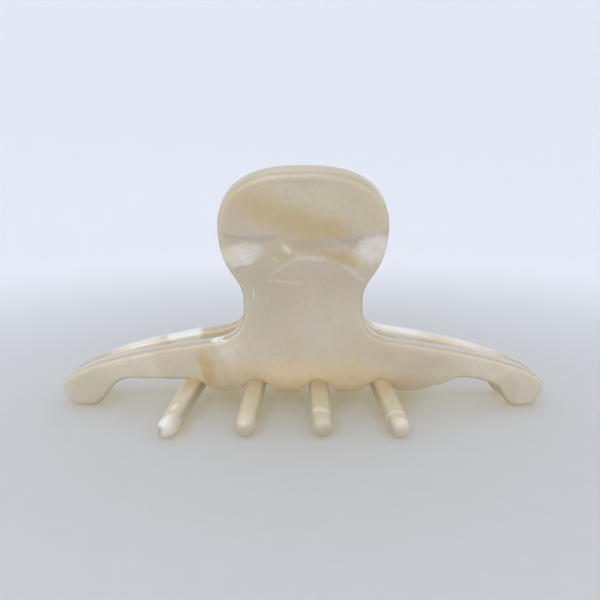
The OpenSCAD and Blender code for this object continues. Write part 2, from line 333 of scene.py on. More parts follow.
toothTip = curlEnd - (toothReach - j["tipHalf"] - straightY) / math.cos(j["toothSlope"]) - j["tipHalf"]

# Linear colours of the pearl sheet, with painted edge shade, painted glow and painted highlights, and how
# much each effect shows
pearlAcetate = {
    "deep": (0.68, 0.565, 0.385),      # between the pearl layers
    "cream": (0.76, 0.66, 0.485),
    "pearl": (0.93, 0.865, 0.765),
    "white": (0.97, 0.955, 0.93),
    "lavender": (0.63, 0.54, 0.475),
    "shade": (0.47, 0.40, 0.345),
    "olive": (0.66, 0.62, 0.46),
    "blush": (0.71, 0.59, 0.475),
    "amber": (0.70, 0.51, 0.235),
    "glow": (0.92, 0.745, 0.465),      # where light gathers low in the sheet
    "straw": (0.74, 0.665, 0.43),
    # painted shade along the cut edges, where light bends at the rounded edges
    "paintedEdgeShade": (0.45, 0.375, 0.265),
    "through": (0.86, 0.79, 0.61),     # passed at each face of the sheet
    "scale": 0.042,                    # folds per millimetre
    "drift": 0.11,                     # slow change of tint, per millimetre
    "grain": 1.3,                      # fine flecks, per millimetre
    "swirl": 1.6,
    "layers": 3.2,
    "layerEdge": 0.12,
    "layerShare": 0.3,
    "veinShare": 0.12,
    "driftShare": 0.6,
    "grainShare": 0.12,
    "paintedEdgeShadeShare": 0.8,
    "paintedEdgeShadeReach": 0.6,                   # millimetres in from the cut edge, over which the painted edge shade fades out
    "layerShine": 0.10,
    "foldShine": 0.12,
    "coat": 0.9,
    "smudge": 0.2,                     # dulling of the polish by handling
    "relief": 0.35,
    "reliefDepth": 0.0006,
    "scatter": 0.7,                    # share of the light that spreads inside the sheet
    "scatterTint": (1.0, 0.78, 0.5),
    "scatterReach": 0.0024,
    "refraction": 1.48,
    "coatRough": 0.035,
}

# Folds in each jaw's sheet, with patches of painted highlight and painted glow among them: tint, share,
# place across and along the blank, half size, turn, softness
frontFoldsAndPaintedLight = [
    ("straw", 0.55, (0.0, 43.4), (16.0, 8.0), 0, 1.0),
    ("lavender", 0.45, (0.5, 48.6), (7.0, 1.1), 0, 1.0),
    ("blush", 0.5, (-12.0, 42.5), (2.6, 3.2), 10, 1.0),
    ("cream", 0.6, (-3.4, 43.6), (2.6, 2.2), -20, 0.9),
    ("amber", 0.45, (-8.5, 44.6), (5.0, 3.2), -30, 1.0),
    ("amber", 0.7, (-2.5, 41.4), (10.0, 3.6), -12, 1.0),
    ("amber", 0.6, (3.5, 39.0), (8.0, 2.8), -8, 1.0),
    ("amber", 0.5, (6.4, 39.4), (2.6, 2.0), 0, 1.0),
    ("cream", 0.6, (12.4, 43.2), (3.6, 4.4), 0, 0.9),
    ("straw", 0.4, (11.0, 41.0), (3.2, 3.4), 0, 0.9),
    ("blush", 0.45, (8.4, 40.4), (0.9, 1.8), -25, 0.9),
    ("amber", 0.45, (0.0, 36.6), (6.0, 2.4), 0, 1.0),
    ("lavender", 0.6, (-10.4, 37.2), (5.6, 1.2), 4, 0.9),
    ("lavender", 0.5, (5.0, 36.6), (7.6, 1.4), 4, 0.9),
    ("lavender", 0.7, (11.2, 37.5), (4.8, 1.2), 14, 0.8),
    ("lavender", 0.7, (0.6, 35.9), (2.4, 0.9), -4, 0.8),
    ("pearl", 0.85, (-11.4, 34.0), (4.4, 2.5), 18, 0.5),
    # Whiter streak in this pearl fold: pearl, and a painted glint
    ("white", 0.35, (-10.4, 33.2), (2.6, 1.2), -52, 0.7),
    ("lavender", 0.5, (-9.4, 31.9), (2.4, 0.5), 30, 0.9),
    ("pearl", 0.9, (12.4, 35.0), (3.2, 4.4), -34, 0.45),
    # Whiter streak in this pearl fold: pearl, and a painted glint
    ("white", 0.35, (11.6, 33.6), (3.4, 1.2), -44, 0.7),
    ("pearl", 0.9, (-3.0, 35.2), (1.0, 1.3), 25, 0.7),
    ("pearl", 0.5, (-5.2, 33.0), (0.5, 0.6), 0, 0.9),
    ("lavender", 0.6, (-12.6, 31.0), (2.4, 0.6), 28, 0.8),
    ("amber", 0.75, (6.4, 33.6), (7.2, 1.4), -16, 0.9),
    ("amber", 0.4, (-3.6, 33.4), (2.6, 1.6), 20, 0.9),
    ("pearl", 0.2, (1.0, 18.5), (12.0, 8.0), 0, 1.0),
    # Painted glow low in the body, where light comes through the sheet: this patch and the two amber ones
    # below it
    ("glow", 0.9, (2.0, 6.6), (21.0, 5.4), 0, 1.0),
    ("amber", 0.35, (-12.5, 8.4), (7.0, 2.6), 0, 1.0),
    ("amber", 0.3, (9.0, 8.6), (7.0, 1.6), 0, 1.0),
    ("amber", 0.9, (-19.2, 9.4), (1.9, 4.0), 24, 0.7),
    ("straw", 0.6, (-21.8, 8.2), (1.2, 2.8), 22, 0.5),
    ("pearl", 0.35, (-14.6, 12.4), (3.2, 1.8), 20, 0.9),
    ("straw", 0.4, (-33.0, 6.5), (3.6, 2.0), 40, 0.9),
    ("cream", 0.5, (-42.0, 4.6), (5.0, 3.0), 30, 0.9),
    ("lavender", 0.35, (23.6, 9.8), (5.8, 1.6), 17, 0.8),
    ("straw", 0.65, (29.0, 8.0), (4.2, 1.3), 0, 0.7),
    ("amber", 0.5, (19.0, 6.6), (4.6, 1.6), 12, 0.9),
    ("pearl", 0.25, (35.0, 9.0), (5.0, 2.0), -20, 0.9),
    ("olive", 0.6, (-43.5, 5.0), (6.5, 5.0), 0, 1.0),
    ("olive", 0.3, (44.0, 4.0), (5.0, 4.0), 0, 1.0),
    ("olive", 0.4, (-7.0, 22.0), (4.5, 6.0), 0, 1.0),
    # Painted highlights: a glint on the paddle, a streak down the neck's left edge and one along the wing
    # root
    ("white", 1.0, (-11.2, 33.6), (0.8, 0.35), 20, 0.6),
    ("white", 0.9, (-9.5, 25.0), (0.24, 1.2), 0, 0.6),
    ("white", 0.9, (-17.0, 14.6), (1.6, 0.26), 8, 0.6),
]
rearFoldsAndPaintedLight = [
    # Brighter tops of the wings: pearl, with painted highlight where the light from above falls on them
    ("white", 0.85, (25.4, 13.2), (4.2, 3.2), 12, 0.22),
    ("pearl", 0.9, (35.0, 11.0), (7.0, 3.0), -18, 0.8),
    ("white", 0.85, (-20.0, 14.0), (8.5, 3.0), 10, 0.7),
    ("pearl", 0.8, (-35.0, 10.5), (9.0, 3.0), 18, 0.8),
    ("olive", 0.75, (3.0, toothTip + 5.0), (30.0, 9.0), 0, 0.6),
    ("white", 0.75, (21.1, toothTip + 1.5), (1.8, 2.3), 12, 0.3),
    ("white", 0.8, (21.6, toothTip + 6.2), (0.5, 1.3), 30, 0.5),
    ("blush", 0.6, (20.8, toothTip + 3.0), (1.0, 2.8), 0, 0.6),
    ("white", 0.3, (-15.2, toothTip + 4.2), (2.6, 0.7), -12, 0.5),
    ("pearl", 0.4, (-15.6, toothTip + 0.7), (2.4, 1.8), 0, 0.5),
    ("pearl", 0.7, (-3.1, toothTip + 5.0), (2.6, 1.0), 12, 0.5),
    ("pearl", 0.25, (9.2, toothTip + 2.4), (2.4, 2.0), -30, 0.5),
    ("pearl", 0.6, (-9.0, 43.0), (4.4, 2.2), -24, 0.6),
    ("lavender", 0.7, (3.0, 45.0), (9.0, 1.2), 12, 0.7),
    ("amber", 0.55, (6.0, 41.0), (6.5, 3.2), 10, 1.0),
    ("pearl", 0.7, (10.8, 34.5), (3.0, 3.4), 30, 0.4),
    ("amber", 0.5, (-6.0, 33.0), (6.0, 2.4), 0, 1.0),
    ("lavender", 0.6, (-8.0, 37.0), (6.0, 0.9), 10, 0.6),
    # Painted glow low in the body, where light comes through the sheet
    ("amber", 0.55, (2.0, 8.0), (19.0, 3.0), 0, 1.0),
    ("straw", 0.5, (-25.0, 9.0), (4.0, 2.0), 20, 0.7),
]
# Ends of layers: tint, across, along, tilt, bend, reach, width, shares of the line and of what lies below
frontLines = [
    ("pearl", 3.0, 33.3, -0.12, -0.055, 11.0, 0.8, 0.42, 0.5),
    ("pearl", -4.0, 28.2, -0.1, 0.0, 4.6, 0.6, 0.3, 0.0),
    ("shade", -9.4, 37.4, -0.02, 0.035, 6.0, 0.7, 0.55, 0.15),
    ("shade", 10.6, 37.5, 0.16, 0.03, 6.4, 0.8, 0.6, 0.15),
    ("shade", 1.6, 36.4, 0.0, -0.02, 4.4, 0.8, 0.5, 0.0),
    ("straw", 2.0, 42.0, -0.3, 0.0, 6.5, 0.6, 0.4, 0.1),
    ("shade", -0.4, 48.6, 0.0, -0.018, 11.0, 0.6, 0.14, 0.0),
]
rearLines = [
    ("pearl", -2.0, 31.0, 0.2, -0.04, 11.5, 0.8, 0.45, 0.4),
    ("pearl", -24.0, 11.0, 0.5, 0.0, 6.0, 0.6, 0.4, 0.3),
    ("shade", 6.0, 38.6, 0.14, -0.02, 9.0, 0.8, 0.55, 0.15),
    ("shade", -8.0, 34.6, -0.2, 0.03, 6.0, 0.7, 0.5, 0.1),
]

throughSheet = 50.0     # half size that carries a fold right through the sheet


def acetateMaterial(name, look, patches, lines, offset, gloss, ripple):
    material, tree, shader, place = startMaterial(name)
    sheet = put(tree, "ShaderNodeAttribute", attribute_name="sheetPlace").outputs["Vector"]
    moved = put(tree, "ShaderNodeMapping", {"Vector": sheet, "Location": offset}).outputs[0]
    folds = useGroup(tree, pearlFolds, {"Vector": moved, "Scale": look["scale"], "Swirl": look["swirl"],
                                        "Layers": look["layers"], "Edge": look["layerEdge"]})
    marks = useGroup(tree, handlingMarks, {"Vector": place, "Ripple": ripple})
    colour = mixColour(tree, ramp(tree, folds["Cloud"], 0.3, 0.7), look["deep"], look["cream"])
    drift = noise(tree, moved, look["drift"], 3.0)["Fac"]
    colour = mixColour(tree, ramp(tree, drift, 0.5, 0.68, 0.0, look["driftShare"]), colour, look["olive"])
    colour = mixColour(tree, ramp(tree, drift, 0.5, 0.32, 0.0, look["driftShare"]), colour, look["blush"])
    for mask, share in ((folds["Layer"], look["layerShare"]), (folds["Vein"], look["veinShare"])):
        colour = mixColour(tree, calc(tree, "MULTIPLY", mask, share), colour, look["pearl"])
    shine = calc(tree, "MULTIPLY", folds["Layer"], look["layerShine"])
    for tint, across, along, tilt, bend, reach, width, lineShare, belowShare in lines:
        layer = useGroup(tree, layerLine, {"Vector": sheet, "Along": across, "Height": along, "Tilt": tilt,
                                           "Bend": bend, "Reach": reach, "Width": width})
        colour = mixColour(tree, calc(tree, "MULTIPLY", layer["Below"], belowShare), colour, look["blush"])
        colour = mixColour(tree, calc(tree, "MULTIPLY", layer["Line"], lineShare), colour, look[tint])
    edge = put(tree, "ShaderNodeAttribute", attribute_name="fromEdge").outputs["Fac"]
    # Painted shade: the colour darkens near the cut edges, standing in for the light that bends away there
    paintedEdgeShade = ramp(tree, edge, look["paintedEdgeShadeReach"], 0.05, 0.0, look["paintedEdgeShadeShare"])
    colour = mixColour(tree, paintedEdgeShade, colour, look["paintedEdgeShade"])
    for tint, share, centre, halfSize, turn, soft in patches:
        patch = useGroup(tree, pearlAndPaintedLightPatch, {"Vector": sheet, "Centre": (*centre, 0.0),
                                            "Half Size": (*halfSize, throughSheet),
                                            "Turn": math.radians(-turn), "Soft": soft})
        mask = calc(tree, "MULTIPLY", patch["Mask"], share)
        colour = mixColour(tree, mask, colour, look[tint])
        if tint in ("pearl", "white"):
            shine = calc(tree, "MULTIPLY_ADD", mask, look["foldShine"], shine, clamp=True)
    grain = noise(tree, sheet, look["grain"], 3.0)["Fac"]
    colour = mixColour(tree, ramp(tree, grain, 0.45, 0.7, 0.0, look["grainShare"]), colour, look["shade"])
    tree.links.new(colour, shader.inputs["Base Color"])
    tree.links.new(shine, shader.inputs["Metallic"])
    rough = calc(tree, "MULTIPLY_ADD", marks["Smudge"], 0.08, gloss)
    tree.links.new(calc(tree, "MULTIPLY_ADD", marks["Scratch"], 0.08, rough), shader.inputs["Roughness"])
    coat = calc(tree, "MULTIPLY_ADD", marks["Smudge"], -look["smudge"], look["coat"])
    tree.links.new(coat, shader.inputs["Coat Weight"])
    pearly = calc(tree, "MULTIPLY_ADD", folds["Cloud"], 1.2, marks["Height"])
    bump = put(tree, "ShaderNodeBump",
               {"Height": pearly, "Strength": look["relief"], "Distance": look["reliefDepth"]})
    tree.links.new(bump.outputs[0], shader.inputs["Normal"])
    # Lamp and bounced rays pass through the sheet and take its colour
    through = put(tree, "ShaderNodeBsdfTransparent", {"Color": (*look["through"], 1.0)}).outputs[0]
    path = tree.nodes.new("ShaderNodeLightPath").outputs
    bounced = put(tree, "ShaderNodeMixShader",
                  {0: path["Is Diffuse Ray"], 1: shader.outputs[0], 2: through})
    lit = put(tree, "ShaderNodeMixShader", {0: path["Is Shadow Ray"], 1: bounced.outputs[0], 2: through})
    tree.links.new(lit.outputs[0], tree.get_output_node("ALL").inputs["Surface"])
    shader.inputs["Subsurface Weight"].default_value = look["scatter"]
    shader.inputs["Subsurface Radius"].default_value = look["scatterTint"]
    shader.inputs["Subsurface Scale"].default_value = look["scatterReach"]
    shader.inputs["IOR"].default_value = look["refraction"]
    shader.inputs["Coat Roughness"].default_value = look["coatRough"]
    return material


metal = {
    "grainScale": 900.0,      # drawn or stamped grain, per metre
    "scratchScale": 2400.0,
    "rippleScale": 700.0,
    "ripple": 0.3,
    "dark": 0.72,             # share of the base colour left in the grain
    "smudged": 0.6,
    "relief": 0.3,
    "reliefDepth": 0.0001,
}


def metalMaterial(name, base, rough, stretch):
    material, tree, shader, place = startMaterial(name)
    stretched = put(tree, "ShaderNodeMapping", {"Vector": place, "Scale": stretch}).outputs[0]
    grain = noise(tree, stretched, metal["grainScale"], 3.0)["Fac"]
    marks = useGroup(tree, handlingMarks, {"Vector": place, "Scratch Scale": metal["scratchScale"],
                                           "Ripple Scale": metal["rippleScale"], "Ripple": metal["ripple"]})
    dark = tuple(metal["dark"] * c for c in base)
    smudged = tuple(metal["smudged"] * c for c in base)
    colour = mixColour(tree, ramp(tree, grain, 0.3, 0.7), dark, base)
    colour = mixColour(tree, calc(tree, "MULTIPLY", marks["Smudge"], 0.3), colour, smudged)
    tree.links.new(colour, shader.inputs["Base Color"])
    tree.links.new(calc(tree, "MULTIPLY_ADD", marks["Smudge"], 0.18, rough), shader.inputs["Roughness"])
    height = calc(tree, "MULTIPLY_ADD", grain, 0.5, marks["Height"])
    bump = put(tree, "ShaderNodeBump",
               {"Height": height, "Strength": metal["relief"], "Distance": metal["reliefDepth"]})
    tree.links.new(bump.outputs[0], shader.inputs["Normal"])
    shader.inputs["Metallic"].default_value = 1.0
    return material


# Each piece is cut from another place in the sheet, then polished
frontPearl = acetateMaterial("frontPearlAcetate", pearlAcetate, frontFoldsAndPaintedLight, frontLines,
                             (0.0, 0.0, 0.0), 0.34, 1.0)
rearPearl = acetateMaterial("rearPearlAcetate", pearlAcetate, rearFoldsAndPaintedLight, rearLines,
                            (31.0, 17.0, 8.0), 0.34, 1.0)
lugPearl = acetateMaterial("lugAcetate", pearlAcetate, [], [], (50.0, -20.0, 0.0), 0.42, 0.6)
pinSteel = metalMaterial("pinSteel", (0.62, 0.62, 0.63), 0.26, (0.15, 1.0, 1.0))
washerSteel = metalMaterial("washerSteel", (0.68, 0.68, 0.70), 0.32, (1.0, 1.0, 1.0))
springSteel = metalMaterial("springSteel", (0.56, 0.56, 0.58), 0.24, (1.0, 0.2, 0.2))
print("materials made")


def curve(a, b, c, d, steps=24):
    # A Bezier curve from a to d, without its last point
    t = np.linspace(0, 1, steps, endpoint=False)[:, None]
    a, b, c, d = (np.array(p, float) for p in (a, b, c, d))
    return (1 - t) ** 3 * a + 3 * (1 - t) ** 2 * t * b + 3 * (1 - t) * t * t * c + t ** 3 * d


def arc(cx, cy, rx, ry, start, end, steps=24, power=1.0):
    # Part of an ellipse, squarer where the power is under 1
    angle = np.radians(np.linspace(start, end, steps, endpoint=False))
    c, s = np.cos(angle), np.sin(angle)
    return np.stack([cx + rx * np.sign(c) * np.abs(c) ** power,
                     cy + ry * np.sign(s) * np.abs(s) ** power], 1)


def mirrored(points):
    return points[::-1] * [-1, 1]


def toothOutline(x):
    # Down the left side, round the tip and up the right side
    side = np.array([[x - j["rootHalf"], j["archBase"]], [x - j["toothHalf"] - 0.2, 1.0],
                     [x - j["toothHalf"], -1.0]])
    tip = arc(x, toothTip + j["tipHalf"], j["tipHalf"], j["tipHalf"], 180, 360, 16)
    tipEnd = [[x + j["tipHalf"], toothTip + j["tipHalf"]]]
    otherSide = (side * [-1, 1] + [2 * x, 0])[::-1]
    return np.concatenate([side, tip, tipEnd, otherSide])


def blankOutline():
    # Anticlockwise round the flat blank, from the right foot's outer end
    neck, paddle, root, shoulder = j["neck"], j["paddle"], j["wingRoot"], j["shoulder"]
    wide = leanEnd + 0.42 * (paddleTop - leanEnd)
    footTop = shoulder - j["footRise"]
    footOut = halfLen - j["footCorner"]
    rightSide = np.concatenate([
        curve((footOut, 0), (halfLen - 1.3, 0), (halfLen, 2.0), (halfLen, footTop)),
        curve((halfLen, footTop), (halfLen, footTop + 4.1), (halfLen * 0.62, shoulder),
              (neck + 6, root - 0.4), 48),
        curve((neck + 6, root - 0.4), (neck + 1.2, root + 0.7), (neck, root + 2.5), (neck, root + 8)),
        curve((neck, leanEnd - 5), (neck, leanEnd - 0.5), (paddle, leanEnd + 0.5), (paddle, wide)),
    ])
    top = arc(0, wide, paddle, paddleTop - wide, 0, 180, 60, 0.8)
    footIn = footOut - j["footFlat"]
    under = j["underside"]
    leftUnder = np.concatenate([
        curve((-footIn, 0), (2.2 - footIn, 0.1), (2.9 - footIn, 1.2), (3.6 - footIn, 2.2), 12),
        curve((3.6 - footIn, 2.2), (4.9 - footIn, 4.1), (6.2 - footIn, under - 0.1),
              (9.6 - footIn, under), 16),
        curve((9.6 - footIn, under), (-30.5, under), (toothX[0] - 9, under + 0.2), (toothX[0] - 6, under)),
        arc(toothX[0] - 6.2, j["archBase"], 6.2 - j["rootHalf"], under - j["archBase"], 90, 0, 12),
    ])
    lastEdge = toothX[-1] + j["rootHalf"]
    rightUnder = np.concatenate([
        arc(lastEdge + 2.6, j["archBase"], 2.6, 2.5, 180, 110, 10),
        curve((lastEdge + 2.2, 5.2), (lastEdge + 5.2, 5.5), (lastEdge + 5.6, 6.7), (31.5, 6.7)),
        curve((31.5, 6.7), (34.4, 6.7), (footIn - 6.2, 5.8), (footIn - 4.4, 4.4)),
        curve((footIn - 4.4, 4.4), (footIn - 3.3, 3.2), (footIn - 2.9, 0.1), (footIn, 0)),
    ])
    teeth = []
    for i, x in enumerate(toothX):
        teeth.append(toothOutline(x))
        if i < len(toothX) - 1:
            half = j["pitch"] / 2 - j["rootHalf"]
            rise = j["archTop"] - j["archBase"]
            teeth.append(arc(x + j["pitch"] / 2, j["archBase"], half, rise, 180, 0, 30))
    return np.concatenate([rightSide, top, mirrored(rightSide), leftUnder, *teeth, rightUnder])


def evenly(points, spacing):
    # The closed outline walked at an even pace
    closed = np.vstack([points, points[:1]])
    run = np.concatenate([[0], np.cumsum(np.hypot(*np.diff(closed, axis=0).T))])
    keep = np.concatenate([[True], np.diff(run) > 1e-6])
    at = np.linspace(0, run[-1], int(run[-1] / spacing), endpoint=False)
    return np.stack([np.interp(at, run[keep], closed[keep, k]) for k in (0, 1)], 1)


def softened(points, reach):
    # Corners eased as a tumbling barrel eases them
    count = int(3 * reach)
    weight = np.exp(-0.5 * (np.arange(-count, count + 1) / reach) ** 2)
    weight /= weight.sum()
    return sum(w * np.roll(points, k, axis=0) for k, w in zip(range(-count, count + 1), weight))


def bendBlank(x, s, h):
    # From a place on the flat blank, and a height over its middle, to the front jaw
    lean = np.clip((s - j["leanFrom"]) / j["leanRadius"], 0, j["lean"])
    curl = np.clip((curlTop - s) / j["toothRadius"], 0, curlMax)
    past = np.maximum(s - leanEnd, 0)
    over = np.maximum(curlEnd - s, 0)
    out = (midOut + j["leanRadius"] * (1 - np.cos(lean)) + past * math.sin(j["lean"])
           - j["toothRadius"] * (1 - np.cos(curl)) - over * math.sin(curlMax))
    leanUp = j["leanFrom"] + j["leanRadius"] * np.sin(lean) + past * math.cos(j["lean"])
    curlUp = curlTop - j["toothRadius"] * np.sin(curl) - over * math.cos(curlMax)
    up = np.where(s > j["leanFrom"], leanUp, np.where(s < curlTop, curlUp, s))
    turn = lean + curl
    # Only the stretch with teeth curls: the wings and feet stay upright
    curled = (smoothStep(toothX[0] - j["curlFade"], toothX[0] - j["rootHalf"], x)
              * smoothStep(toothX[-1] + j["curlFade"], toothX[-1] + j["rootHalf"], x))
    curled = np.where(s < curlTop, curled, 1.0)
    middle = midOut + (out - midOut) * curled
    out = (out + h * np.cos(turn)) * curled + (midOut + h) * (1 - curled)
    up = (up - h * np.sin(turn)) * curled + s * (1 - curled)
    share = np.clip((midOut - middle) / (midOut + toothReach), 0, 1)
    nearest = np.array(toothX)[np.abs(x[:, None] - np.array(toothX)).argmin(1)]
    own = smoothStep(0.0, 0.1, share)
    y = bowAxis - np.sqrt((bowAxis + out) ** 2 - x ** 2)
    x = x + j["splay"] * (nearest * own + x * (1 - own)) * share
    return np.stack([x, y, up], 1)


def inwardFrom(outline):
    # The unit direction into an anticlockwise outline, at each of its points
    ahead = np.roll(outline, -1, axis=0) - np.roll(outline, 1, axis=0)
    return np.stack([-ahead[:, 1], ahead[:, 0]], 1) / np.hypot(*ahead.T)[:, None]


def insideOf(points, ring):
    inside = np.zeros(len(points), bool)
    a, b = ring, np.roll(ring, -1, axis=0)
    for p, q in zip(a, b):
        crosses = (p[1] > points[:, 1]) != (q[1] > points[:, 1])
        if crosses.any():
            at = p[0] + (points[crosses, 1] - p[1]) / (q[1] - p[1]) * (q[0] - p[0])
            inside[crosses] ^= points[crosses, 0] < at
    return inside


def nearestDistance(points, ring):
    return np.concatenate([np.sqrt(((chunk[:, None] - ring[None]) ** 2).sum(2).min(1))
                           for chunk in np.array_split(points, max(1, len(points) // 500))])


def buildJaw():
    outline = softened(evenly(blankOutline(), j["spacing"]), 1.9)
    inward = inwardFrom(outline)
    s = outline[:, 1]
    rounding = (j["edge"] + (j["toothEdge"] - j["edge"]) * smoothStep(4, 0, s)
                + (j["tipEdge"] - j["toothEdge"]) * smoothStep(toothTip + 5, toothTip + 2, s))

    def thickness(along):
        return j["sheet"] + (j["toothSheet"] - j["sheet"]) * smoothStep(7, 1, along)

    half = thickness(s) / 2
    quarter = np.radians(np.linspace(0, 90, 6))
    profile = [(-1, a) for a in quarter[::-1]] + [(1, a) for a in quarter]
    loops, depths, places = [], [], []
    for side, a in profile:
        depth = rounding * (1 - math.cos(a))
        at = outline + inward * depth[:, None]
        height = side * (half - rounding + rounding * math.sin(a))
        loops.append(bendBlank(at[:, 0], at[:, 1], height))
        depths.append(depth)
        places.append(np.column_stack([at, height]))
    ring = outline + inward * rounding[:, None]
    low, high = ring.min(0), ring.max(0)
    step = j["grid"]
    rows = np.arange(low[1], high[1], step * 0.866)
    columns = np.arange(low[0], high[0], step)
    grid = np.concatenate([np.stack([columns + step / 2 * (k % 2), np.full(len(columns), v)], 1)
                           for k, v in enumerate(rows)])
    grid = grid[insideOf(grid, ring)]
    grid = grid[nearestDistance(grid, ring) > 0.45]
    count = len(ring)
    flat = np.concatenate([ring, grid])
    edges = [(i, (i + 1) % count) for i in range(count)]
    filled = delaunay_2d_cdt([Vector(p) for p in flat], edges, [], 1, 1e-5)
    toFlat = [o[0] if o else -1 for o in filled[3]]
    triangles = [[toFlat[v] for v in t] for t in filled[2]]
    triangles = [t for t in triangles if -1 not in t and len(set(t)) == 3]
    half = thickness(grid[:, 1]) / 2
    front = bendBlank(grid[:, 0], grid[:, 1], half)
    back = bendBlank(grid[:, 0], grid[:, 1], -half)
    points = np.concatenate([*loops, front, back])
    last = (len(loops) - 1) * count
    frontStart = len(loops) * count
    backStart = frontStart + len(grid)
    faces = []
    for k in range(len(loops) - 1):
        for i in range(count):
            n = (i + 1) % count
            faces.append((k * count + i, k * count + n, (k + 1) * count + n, (k + 1) * count + i))
    for a, b, c in triangles:
        faces.append(tuple(v + last if v < count else frontStart + v - count for v in (a, b, c)))
        faces.append(tuple(v if v < count else backStart + v - count for v in (c, b, a)))
    places += [np.column_stack([grid, half]), np.column_stack([grid, -half])]
    fromEdge = np.concatenate([*depths, *[nearestDistance(grid, outline)] * 2])
    return points, faces, np.concatenate(places), fromEdge


jawPoints, jawFaces, jawPlace, jawEdge = buildJaw()
halfTurn = np.array([-1, -1, 1])
for name, turn, material, body, node in (("frontJaw", 1, frontPearl, "front", "front_jaw"),
                                         ("rearJaw", halfTurn, rearPearl, "rear", "rear_jaw")):
    piece = meshPiece(name, jawPoints * turn, jawFaces, material, body, node)
    giveAttributes(piece, jawPlace, jawEdge)
print("jaws made:", len(jawPoints), "points each")


def loftLoops(loops, closed=False):
    # Quads between equal loops of points, each loop closed on itself
    count = len(loops[0])
    rows = len(loops)
    faces = []
    for k in range(rows if closed else rows - 1):
        for i in range(count):
            n = (i + 1) % count
            up = (k + 1) % rows
            faces.append((k * count + i, k * count + n, up * count + n, up * count + i))
    return np.concatenate(loops), faces


def outwards(piece):
    made = bmesh.new()
    made.from_mesh(piece.data)
    bmesh.ops.recalc_face_normals(made, faces=made.faces)
    made.to_mesh(piece.data)
    made.free()


lug = {
    "bore": 1.0,
    "flare": 1.12,      # the bore's chamfer: its radius at the face, and its depth
    "flareDepth": 0.12,
    "edge": 0.3,        # rounding of the cut edges
    "sink": 0.5,        # how far the foot of the web goes into the neck
    "margin": 0.2,      # the web is this much wider than the eye, each way
}


def neckLean(z):
    # How far the neck has leaned out at a height
    return j["leanRadius"] * (1 - math.cos(math.asin((z - j["leanFrom"]) / j["leanRadius"])))


def buildLug(node, name, body):
    low, high = nodeBox(node)
    side = -1 if body == "front" else 1               # the neck that it is bonded to
    radius = high[1] if side < 0 else -low[1]         # its eye reaches as far past the pin
    webHalf = radius + lug["margin"]
    wall = j["gap"] / 2 + lug["sink"]
    footLow, footHigh = (-wall - neckLean(hingeZ + k * webHalf) for k in (-1, 1))
    eye = arc(0, 0, radius, radius, 90, -90, 25)
    web = np.array([[0, -radius], [-1, -radius - 0.02], [footLow + 0.6, -webHalf + 0.1],
                    [footLow, -webHalf], [footHigh, webHalf], [footHigh + 0.6, webHalf - 0.1],
                    [-1, radius + 0.02]])
    outline = softened(evenly(np.concatenate([eye, web])[::-1], 0.3), 1.2)
    inward = inwardFrom(outline)
    angle = np.arctan2(outline[:, 1], outline[:, 0])
    bore = lug["bore"] * np.stack([np.cos(angle), np.sin(angle)], 1)
    edge, flare, deep = lug["edge"], bore * lug["flare"], lug["flareDepth"]
    quarter = np.radians(np.linspace(0, 90, 4))
    stations = [(low[0], flare), (low[0] + deep, bore), (high[0] - deep, bore), (high[0], flare)]
    for a in quarter[::-1]:
        stations.append((high[0] - edge + edge * math.sin(a), outline + inward * edge * (1 - math.cos(a))))
    for a in quarter:
        stations.append((low[0] + edge - edge * math.sin(a), outline + inward * edge * (1 - math.cos(a))))
    loops = [np.stack([np.full(len(at), x), -side * at[:, 0], hingeZ + at[:, 1]], 1) for x, at in stations]
    points, faces = loftLoops(loops, closed=True)
    piece = meshPiece(name, points, faces, lugPearl, body, node)
    outwards(piece)
    depth = [0.3] * 4 + [edge * (1 - math.cos(a)) for a in (*quarter[::-1], *quarter)]
    giveAttributes(piece, points, np.repeat(depth, len(outline)))


buildLug("front_lug_right", "frontLugRight", "front")
buildLug("front_lug_left", "frontLugLeft", "front")
buildLug("rear_lug_left", "rearLugLeft", "rear")
buildLug("rear_lug_right", "rearLugRight", "rear")
print("lugs made")


def turned(profile, steps=64):
    # Turns a list of (place along the pin, radius) about the hinge axis, closed at its ends
    angle = np.radians(np.arange(steps) * 360 / steps)
    c, s = np.cos(angle), np.sin(angle)
    return [np.stack([np.full(steps, x), r * c, hingeZ + r * s], 1) for x, r in profile]


pin = {
    "radius": 1.0,
    "head": 0.8,          # thickness of each head
    "dome": 0.55,         # height of the rounded part of a head
    "dimple": 0.5,        # radius of the riveting dimple
    "dimpleEdge": 0.15,
    "dimpleDepth": 0.12,
    "steps": 64,
}
pinLow, pinHigh = nodeBox("hinge_pin")


def buildPin():
    headR = pinHigh[1]
    end = (pinHigh[0] - pinLow[0]) / 2
    middle = (pinHigh[0] + pinLow[0]) / 2
    dimple, top = pin["dimple"], pin["dimple"] + pin["dimpleEdge"]
    floor = end - pin["dimpleDepth"]
    head = [(floor - 0.02, 0.02), (floor, dimple * 0.6), (end - 0.02, dimple), (end, top)]
    for a in np.radians(np.linspace(15, 90, 8)):
        head.append((end - pin["dome"] * (1 - math.cos(a)), top + (headR - top) * math.sin(a)))
    under = end - pin["head"]
    head += [(under + 0.06, headR), (under, headR - 0.06),
             (under, pin["radius"] + 0.05), (under - 0.05, pin["radius"])]
    profile = [(middle + x, r) for x, r in head] + [(middle - x, r) for x, r in head[::-1]]
    steps = pin["steps"]
    points, faces = loftLoops(turned(profile, steps))
    last = len(points) - steps
    faces.append(tuple(range(steps)))
    faces.append(tuple(last + i for i in range(steps))[::-1])
    outwards(meshPiece("hingePin", points, faces, pinSteel, "front", "hinge_pin"))


buildPin()


